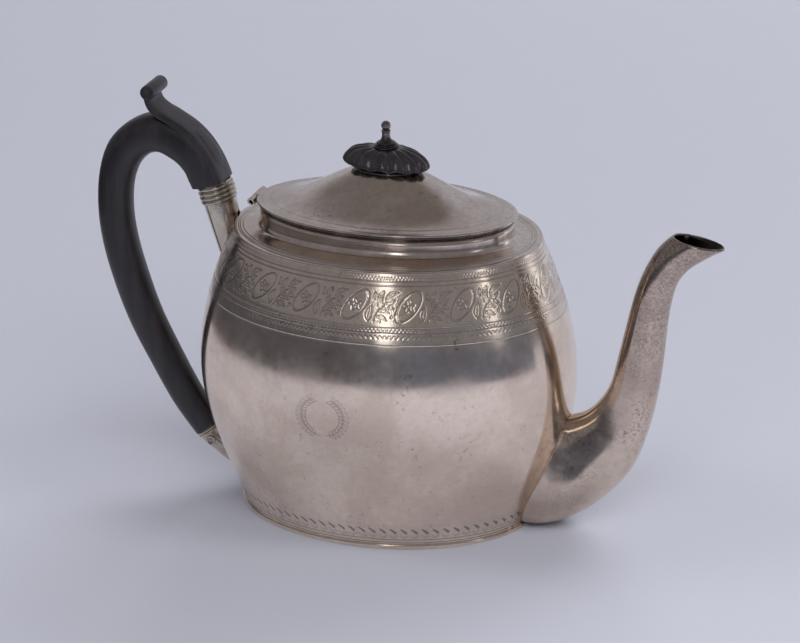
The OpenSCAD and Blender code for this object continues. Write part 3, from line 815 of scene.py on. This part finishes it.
def outside_body(points, gap=0.0):
    """Positive where points are outside the body wall and foot."""
    z = points[..., 2]
    r = np.where(z < 3.2, 63.5, np.interp(z, BODY_DENSE[:, 1], BODY_DENSE[:, 0]))
    return np.hypot(points[..., 0], points[..., 1] / BODY_OVAL) - r - gap


def inside_body(points):
    return -outside_body(points, 0.02)


def crossing(stations, sides, test, start, end, count=400):
    """For each side line, the station parameter where test changes sign between start and end."""
    t = np.linspace(start, end, count)
    rows = catmull(stations, t)[:, None, :]
    value = test(ring_points(np.repeat(rows, sides, 1), sides))
    result = np.full(sides, start, float)
    for i in range(sides):
        change = np.nonzero((value[:-1, i] < 0) & (value[1:, i] >= 0))[0]
        if len(change):
            k = change[-1]
            f = value[k, i] / (value[k, i] - value[k + 1, i])
            result[i] = t[k] + f * (t[k + 1] - t[k])
    return result


SPOUT = [
    (56, 25.3, 3, 24.3, 16.4, 3.4, 0.45), (69, 25.5, 5, 24.1, 16.4, 3.2, 0.5),
    (80, 27.6, 12, 20.9, 16, 2.8, 0.55), (87.4, 32.3, 26, 18.4, 14.6, 2.4, 0.55),
    (95.6, 40.2, 43, 15.3, 12.8, 2.15, 0.5),
    (101.5, 50.6, 59, 12.2, 11, 2.05, 0.48), (105.9, 62.5, 70, 10.2, 9.8, 2, 0.4),
    (108.9, 78.4, 78, 9.3, 8.8, 2, 0.3), (111.8, 97, 78, 8.1, 7.7, 2, 0.2),
    (114, 107.3, 72, 7.6, 7.2, 2, 0.1), (117.2, 116.3, 60, 7.3, 6.8, 2, 0),
    (122.6, 124.2, 46, 7.6, 6.5, 2, 0),
    (131.5, 131, 29, 7.6, 6.3, 2, 0), (140.9, 136.3, 26, 7.3, 6.2, 2, 0)]
MOUTH_X, MOUTH_Z, MOUTH_SLOPE = 126.0, 131.9, 0.2035


def spout():
    sides, rows = 128, 150
    base = crossing(SPOUT, sides, lambda w: outside_body(w, 0.02), 0, 5)

    def above_mouth(w):
        return w[..., 2] - (MOUTH_Z - MOUTH_SLOPE * (w[..., 0] - MOUTH_X))

    top = crossing(SPOUT, sides, above_mouth, 9, 13)
    share = np.linspace(0, 1, rows)[:, None]
    t = base[None] + (top - base)[None] * share
    outer = ring_points(catmull(SPOUT, t), sides)
    thin = np.array([0, 0, 0, 1, 1, 0, 0.0])
    rim = ring_points(catmull(SPOUT, top) - 0.5 * thin, sides)
    rim[:, 2] += 0.28
    inner_t = base[None] + (top - base)[None] * np.linspace(1, 0, 60)[:, None]
    inner = ring_points(catmull(SPOUT, inner_t) - thin, sides)
    outer[-1, :, 2] -= 0.05
    points = np.concatenate([outer, rim[None], inner])
    obj = grid("swan_neck_spout", points, loop=True)
    inside = np.repeat((np.arange(rows + 61) >= rows + 1).astype(int), sides)
    return obj, inside


spout_obj, spout_inside = spout()
finish(spout_obj, "pot", SILVER_SPOUT, "silver", "spout")
# The inner faces take the near-black silver: painted shade inside the spout.
spout_obj.data.materials.append(SILVER_INSIDE_SHADE)
spout_obj.data.polygons.foreach_set("material_index", spout_inside)

HANDLE = [
    (-80.9, 24.2, 126, 6.3, 6.2, 2.1), (-90.3, 38, 122, 6.9, 6.6, 2.2), (-99.6, 55, 118, 7.1, 6.8, 2.2),
    (-108, 72, 114, 7.4, 6.9, 2.2), (-114.1, 89, 107, 7.6, 7, 2.2), (-118.4, 105.3, 99, 7.6, 7, 2.2),
    (-120, 119.5, 90, 7.5, 7, 2.2), (-119, 133.5, 77, 7.6, 7, 2.2), (-114.9, 144.9, 58, 8, 7.2, 2.3),
    (-107.3, 152.4, 36, 8.1, 7.4, 2.5), (-98.3, 155, 5, 8.4, 7.5, 2.8), (-87.6, 151.2, -28, 8.5, 7.5, 3.0),
    (-81.2, 144.9, -50, 8.1, 7.5, 3.2), (-78.3, 138.5, -68, 7.8, 7.4, 3.2),
    (-76.9, 134.9, -74.5, 7.6, 7.3, 3.2)]


def handle():
    sides = 64
    t = np.linspace(0, len(HANDLE) - 1, 170)
    rows = catmull(HANDLE, t)[:, None, :]
    points = ring_points(np.repeat(rows, sides, 1), sides)
    return grid("handle_grip", points, cap_start=True, cap_end=True, sharp=50)


finish(handle(), "pot", WOOD, "ebonised_wood", "handle")

# Thumb piece: centre line and half thickness of the leaf, from the handle up to the roll.
LEAF = [(-71.2, 136.9, 1.7), (-72.6, 140.9, 1.7), (-75.3, 146.4, 1.7), (-79.4, 152.4, 1.7),
        (-85.2, 157.9, 1.7), (-92.6, 162.3, 1.75), (-97.3, 164.6, 1.8), (-100.6, 167.4, 1.75),
        (-102.0, 171.2, 1.75), (-101.6, 174.2, 1.6)]
ROLL = (-101.2, 174.0, 3.1)


def thumb_leaf():
    """A tongue with a rounded edge that curls from the handle's back up into the roll."""
    t = np.linspace(0, len(LEAF) - 1, 60)
    line = catmull(LEAF, t)
    tangent = np.gradient(line[:, :2], axis=0)
    tangent /= np.linalg.norm(tangent, axis=1, keepdims=True)
    sides = 36
    a = (np.arange(sides) + 0.5) / sides * TAU
    c, s = np.cos(a), np.sin(a)
    square = 3.6
    u = np.sign(c) * np.abs(c) ** (2 / square)
    v = np.sign(s) * np.abs(s) ** (2 / square)
    share = t / t[-1]
    half = 7.75 - 0.3 * smooth((share - 0.6) / 0.25)
    rows = []
    for k in range(len(t)):
        nx, nz = -tangent[k, 1], tangent[k, 0]
        out = line[k, 2] * u
        rows.append(np.stack([line[k, 0] + nx * out, half[k] * v, line[k, 1] + nz * out], 1))
    return grid("thumb_leaf", rows, cap_start=True, cap_end=True, sharp=50)


def thumb_roll():
    x, z, r = ROLL
    outline = [(r - 1.6, -8.0), (r - 0.5, -8.3), (r - 0.12, -8.1), (r, -7.7), (r, 7.7), (r - 0.12, 8.1),
               (r - 0.5, 8.3), (r - 1.6, 8.0)]
    a = np.linspace(0, TAU, 48, endpoint=False)
    rows = [np.stack([x + q * np.cos(a), np.full(48, y), z - q * np.sin(a)], 1) for q, y in outline]
    return grid("thumb_roll", rows, cap_start=True, cap_end=True, sharp=50)


finish(thumb_leaf(), "pot", WOOD, "ebonised_wood")
finish(thumb_roll(), "pot", WOOD, "ebonised_wood")


def on_axis(end, direction, outline, name, columns=64):
    """Turned piece about a socket's axis; outline is (radius, distance from the wood towards the body)."""
    turn = math.radians(direction)
    along = np.array([math.cos(turn), 0, math.sin(turn)])
    across = np.array([-math.sin(turn), 0, math.cos(turn)])
    a = np.linspace(0, TAU, columns, endpoint=False)
    rows = []
    for r, s in outline:
        ring = (np.array([end[0], 0, end[1]]) + along * s + across * (r * np.cos(a))[:, None])
        ring[:, 1] += r * np.sin(a)
        rows.append(ring)
    return grid(name, rows, loop=True, sharp=50, flip=True)


UPPER_END, UPPER_DIR = (-75.3, 135.34), -74.5
LOWER_END, LOWER_DIR = (-80.9, 24.2), -54.0


def upper_tube():
    """Tapering tube whose lower end is scribed to the body wall."""
    stations = [(UPPER_END[0] + 0.267 * s, UPPER_END[1] - 0.964 * s, UPPER_DIR, r, r, 2.0)
                for s, r in ((0, 6.9), (0.35, 7.0), (8, 7.0), (12, 6.9), (20, 6.65), (28, 6.35), (36, 6.1))]
    sides = 64
    end = crossing(stations, sides, inside_body, 2, 6)
    t = end[None] * np.linspace(0, 1, 60)[:, None]
    outer = ring_points(catmull(stations, t), sides)
    thin = np.array([0, 0, 0, 1.0, 1.0, 0])
    inner = ring_points(catmull(stations, t[::-4]) - thin, sides)
    return grid("upper_socket_tube", np.concatenate([outer, inner]), loop=True, sharp=50)


# The upper socket and its reeds take the darker silver: painted shade.
finish(upper_tube(), "pot", SILVER_SMALL_SHADED, "silver", "upper_socket")


def reeds(inner, start, radii, width):
    outline = [(inner, start)]
    for i, r in enumerate(radii):
        middle = start + (i + 0.5) * width
        for a in np.linspace(-78, 78, 7):
            outline.append((r - width / 2 + width / 2 * math.cos(math.radians(a)),
                            middle + width / 2 * math.sin(math.radians(a))))
    outline.append((inner, start + len(radii) * width))
    return outline


finish(on_axis(UPPER_END, UPPER_DIR, reeds(7.05, 0.2, (7.75, 8.0, 7.95, 7.8), 1.95), "upper_reeds"), "pot",
       SILVER_SMALL_SHADED, "silver", "upper_socket_collar")

LOWER = [(-80.9, 24.2, -54, 5.5, 5.5, 2), (-77.8, 20.3, -54, 5.3, 5.5, 2), (-74.3, 17.5, -50, 4.7, 5.3, 2),
         (-70.7, 13.9, -45, 4.1, 4.7, 2), (-67.5, 11.1, -43, 3.3, 3.9, 2), (-65.2, 8.6, -41, 2.2, 2.9, 2),
         (-63.5, 6.9, -40, 0.9, 1.6, 2)]


def lower_cup():
    """Short curved socket that ends in a point on the body."""
    sides = 64
    t = np.linspace(0, len(LOWER) - 1, 90)
    outer = ring_points(np.repeat(catmull(LOWER, t)[:, None, :], sides, 1), sides)
    # Points that would enter the body are held at its surface.
    z = outer[..., 2]
    r = np.interp(z, BODY_DENSE[:, 1], BODY_DENSE[:, 0]) + 0.03
    reach = np.hypot(outer[..., 0], outer[..., 1] / BODY_OVAL)
    push = np.maximum(1, r / np.maximum(reach, 1e-6))
    outer[..., 0] *= push
    outer[..., 1] *= push
    return grid("lower_socket_cup", outer, cap_start=True, cap_end=True, sharp=50)


# The lower socket and its reeds take the darker silver: painted shade.
finish(lower_cup(), "pot", SILVER_SMALL_SHADED, "silver", "lower_socket")
finish(on_axis(LOWER_END, LOWER_DIR, reeds(5.55, 0.2, (6.25, 6.1), 1.1), "lower_reeds"), "pot",
       SILVER_SMALL_SHADED, "silver", "lower_socket_collar")

# CAD nodes that stay as they are, with a better material.
for node, material in (("base_plate", SILVER_BODY), ("hinge_pin", SILVER_SMALL_SHADED),
                       ("finial_washer", SILVER_SMALL_SHADED), ("finial_nut", SILVER_DARK),
                       ("upper_pin", SILVER_SMALL_SHADED), ("lower_pin", SILVER_SMALL_SHADED),
                       ("lower_rosettes", SILVER_SMALL_SHADED), ("spout_tab", SILVER_INSIDE_SHADE)):
    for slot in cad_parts[node].material_slots:
        slot.material = material

# ---------------------------------------------------------------- stage, light and camera

def paper(name, colour):
    material, tree, shader = node_material(name)
    grain = noise(tree, 30, 4, 0.6)
    dark = tuple(0.985 * c for c in colour)
    tree.links.new(mix_colour(tree, grain, colour, dark), shader.inputs["Base Color"])
    shader.inputs["Roughness"].default_value = 0.9
    shader.inputs["Specular IOR Level"].default_value = 0.1
    return material


def square_floor(name, size):
    mesh = bpy.data.meshes.new(name)
    h = size / 2
    mesh.from_pydata([(-h, -h, 0), (h, -h, 0), (h, h, 0), (-h, h, 0)], [], [(0, 1, 2, 3)])
    obj = bpy.data.objects.new(name, mesh)
    bpy.context.scene.collection.objects.link(obj)
    return obj


floor = square_floor("floor", 14)
floor.data.materials.append(paper("floor_paper", (0.55, 0.562, 0.648)))


def dark_surround():
    """A low dark ring that only reflections see, like the room beyond the table; paler towards +Y."""
    count = 80
    angles = np.radians(np.linspace(-232, 4, count))
    reach = 0.46 + 0.07 * np.cos(angles)
    points = [(r * math.cos(a), r * math.sin(a), z) for z in (0.002, 0.118) for r, a in zip(reach, angles)]
    faces = [(i, i + 1, count + i + 1, count + i) for i in range(count - 1)]
    mesh = bpy.data.meshes.new("surround")
    mesh.from_pydata(points, [], faces)
    obj = bpy.data.objects.new("surround", mesh)
    bpy.context.scene.collection.objects.link(obj)
    material, tree, shader = node_material("surround_cloth")
    tree.nodes.remove(shader)
    glow = add(tree, "ShaderNodeEmission")
    place = add(tree, "ShaderNodeSeparateXYZ")
    tree.links.new(add(tree, "ShaderNodeTexCoord").outputs["Object"], place.inputs["Vector"])
    side = ramp(tree, place.outputs["X"], -0.25, 0.25)
    cloth = mix_colour(tree, side, (0.078, 0.079, 0.095), (0.122, 0.139, 0.190))
    far = ramp(tree, place.outputs["Y"], 0.02, 0.34)
    tree.links.new(mix_colour(tree, far, cloth, (0.30, 0.30, 0.32)), glow.inputs["Color"])
    tree.links.new(glow.outputs["Emission"], tree.nodes["Material Output"].inputs["Surface"])
    obj.data.materials.append(material)
    for flag in ("visible_camera", "visible_diffuse", "visible_shadow", "visible_transmission"):
        setattr(obj, flag, False)


dark_surround()


def softbox(name, azimuth, elevation, distance, size, power, mirrored=True, diffuse=1.0, aim=(0, 0, 0.09)):
    """Area light; azimuth 0 is the -Y side, 90 the +X side. Only mirrored ones show in the silver."""
    a, e = math.radians(azimuth), math.radians(elevation)
    back = Vector((math.sin(a) * math.cos(e), -math.cos(a) * math.cos(e), math.sin(e)))
    data = bpy.data.lights.new(name, "AREA")
    data.shape = "RECTANGLE"
    data.size, data.size_y = size
    data.energy = power
    data.diffuse_factor = diffuse
    obj = bpy.data.objects.new(name, data)
    obj.location = Vector(aim) + back * distance
    obj.rotation_euler = back.to_track_quat("Z", "Y").to_euler()
    obj.visible_glossy = mirrored
    bpy.context.scene.collection.objects.link(obj)
    return obj


softbox("front_box", 3, 16, 1.3, (0.15, 0.62), 0.6, diffuse=0)
softbox("right_box", 67, 15, 1.3, (0.13, 0.5), 0.25, diffuse=0)
softbox("far_right_box", 124, 8, 1.3, (0.22, 0.5), 0.24, diffuse=0)
softbox("left_key", -80, 42, 2.2, (0.7, 0.7), 7, mirrored=False)
softbox("right_key", 86, 42, 2.2, (0.7, 0.7), 10.5, mirrored=False)
softbox("front_fill", 30, 48, 0.95, (0.8, 0.5), 4.3, mirrored=False, aim=(0.08, -0.1, 0))
softbox("back_wash", 172, 62, 2.0, (2.2, 1.4), 51, mirrored=False, aim=(0.3, 1.5, 0))

world = bpy.data.worlds.new("studio")
bpy.context.scene.world = world
world.use_nodes = True
sky = world.node_tree
background = sky.nodes["Background"]
coords = add(sky, "ShaderNodeTexCoord")
split = add(sky, "ShaderNodeSeparateXYZ")
sky.links.new(coords.outputs["Generated"], split.inputs["Vector"])
height = ramp(sky, split.outputs["Z"], 0.0, 0.85)
sides = mix_colour(sky, height, (0.21, 0.205, 0.215), (0.19, 0.182, 0.19))
behind = ramp(sky, split.outputs["Y"], 0.25, 0.75)
overhead = ramp(sky, split.outputs["Z"], 0.86, 0.93)
walls = mix_colour(sky, behind, sides, (0.40, 0.405, 0.45))
sky.links.new(mix_colour(sky, overhead, walls, (0.172, 0.162, 0.155)), background.inputs["Color"])
background.inputs["Strength"].default_value = 1.0

VIEW_AZIMUTH, VIEW_ELEVATION, VIEW_DISTANCE = math.radians(18.0), math.radians(21.7), 1.5
VIEW_ROLL, VIEW_SHIFT, VIEW_HEIGHT = math.radians(-0.37), 0.0052, 0.0814
SENSOR, FOCAL_PER_WIDTH = 36, 2.403 * 1500 / 800
target = Vector((VIEW_SHIFT * math.cos(VIEW_AZIMUTH), VIEW_SHIFT * math.sin(VIEW_AZIMUTH), VIEW_HEIGHT))
back = Vector((math.sin(VIEW_AZIMUTH) * math.cos(VIEW_ELEVATION),
               -math.cos(VIEW_AZIMUTH) * math.cos(VIEW_ELEVATION), math.sin(VIEW_ELEVATION)))
camera_data = bpy.data.cameras.new("camera")
camera_data.sensor_width = SENSOR
camera_data.lens = FOCAL_PER_WIDTH * SENSOR
camera_data.clip_end = 100
camera = bpy.data.objects.new("camera", camera_data)
right = (-back).cross(Vector((0, 0, 1))).normalized()
up = right.cross(-back)
rolled_right = right * math.cos(VIEW_ROLL) + up * math.sin(VIEW_ROLL)
rolled_up = up * math.cos(VIEW_ROLL) - right * math.sin(VIEW_ROLL)
rotation = camera.rotation_euler.to_matrix()
for i in range(3):
    rotation[i] = (rolled_right[i], rolled_up[i], back[i])
camera.rotation_euler = rotation.to_euler()
camera.location = target + back * VIEW_DISTANCE
bpy.context.scene.collection.objects.link(camera)
bpy.context.scene.camera = camera
bpy.context.scene.view_settings.view_transform = "Standard"

bpy.context.view_layer.update()
